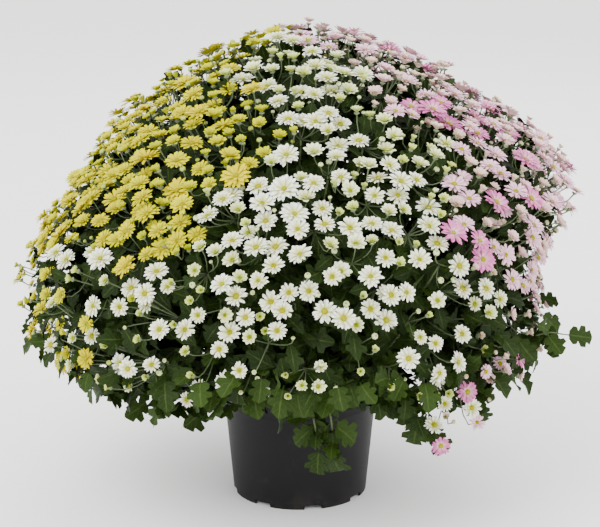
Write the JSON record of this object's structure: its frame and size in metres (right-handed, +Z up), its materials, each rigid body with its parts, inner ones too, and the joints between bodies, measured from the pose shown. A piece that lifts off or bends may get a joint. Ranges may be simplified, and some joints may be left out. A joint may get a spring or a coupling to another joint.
{
  "type": "pot chrysanthemum",
  "caption": "Potted garden chrysanthemum: a ball of yellow, white and pink daisy-like blooms over lobed leaves, in a plain black nursery pot that stands on its foot ring.",
  "frame": {"origin": "on the pot's vertical axis, on the surface that the pot stands on", "axes": "+Z up along the pot's axis; -Y towards the side seen in the picture, with the white plant in front; +X to that view's right, where the pink plant is"},
  "size_m": [0.8124, 0.7775, 0.6897],
  "materials": {
    "pot_plastic": "matte moulded",
    "potting_soil": "rough, crumbly",
    "yellow_leaves": "matte leaf with soft veins",
    "yellow_petals": "soft satin petal",
    "white_leaves": "matte leaf with soft veins",
    "white_petals": "soft satin petal",
    "pink_leaves": "matte leaf with soft veins",
    "pink_petals": "soft satin petal"
  },
  "bodies": {
    "root": {"pot": "pot_plastic", "soil": "potting_soil", "yellow_foliage": "yellow_leaves", "yellow_spray_01": "yellow_petals", "yellow_spray_02": "yellow_petals", "yellow_spray_03": "yellow_petals", "yellow_spray_04": "yellow_petals", "yellow_spray_05": "yellow_petals", "yellow_spray_06": "yellow_petals", "yellow_spray_07": "yellow_petals", "yellow_spray_08": "yellow_petals", "yellow_spray_09": "yellow_petals", "yellow_spray_10": "yellow_petals", "yellow_spray_11": "yellow_petals", "yellow_spray_12": "yellow_petals", "yellow_spray_13": "yellow_petals", "yellow_spray_14": "yellow_petals", "yellow_spray_15": "yellow_petals", "yellow_spray_16": "yellow_petals", "white_foliage": "white_leaves", "white_spray_01": "white_petals", "white_spray_02": "white_petals", "white_spray_03": "white_petals", "white_spray_04": "white_petals", "white_spray_05": "white_petals", "white_spray_06": "white_petals", "white_spray_07": "white_petals", "pink_foliage": "pink_leaves", "pink_spray_01": "pink_petals", "pink_spray_02": "pink_petals", "pink_spray_03": "pink_petals", "pink_spray_04": "pink_petals", "pink_spray_05": "pink_petals", "pink_spray_06": "pink_petals", "pink_spray_07": "pink_petals", "pink_spray_08": "pink_petals", "pink_spray_09": "pink_petals", "pink_spray_10": "pink_petals", "pink_spray_11": "pink_petals", "pink_spray_12": "pink_petals", "pink_spray_13": "pink_petals", "pink_spray_14": "pink_petals", "pink_spray_15": "pink_petals", "pink_spray_16": "pink_petals", "pink_spray_17": "pink_petals"}
  },
  "joints": []
}
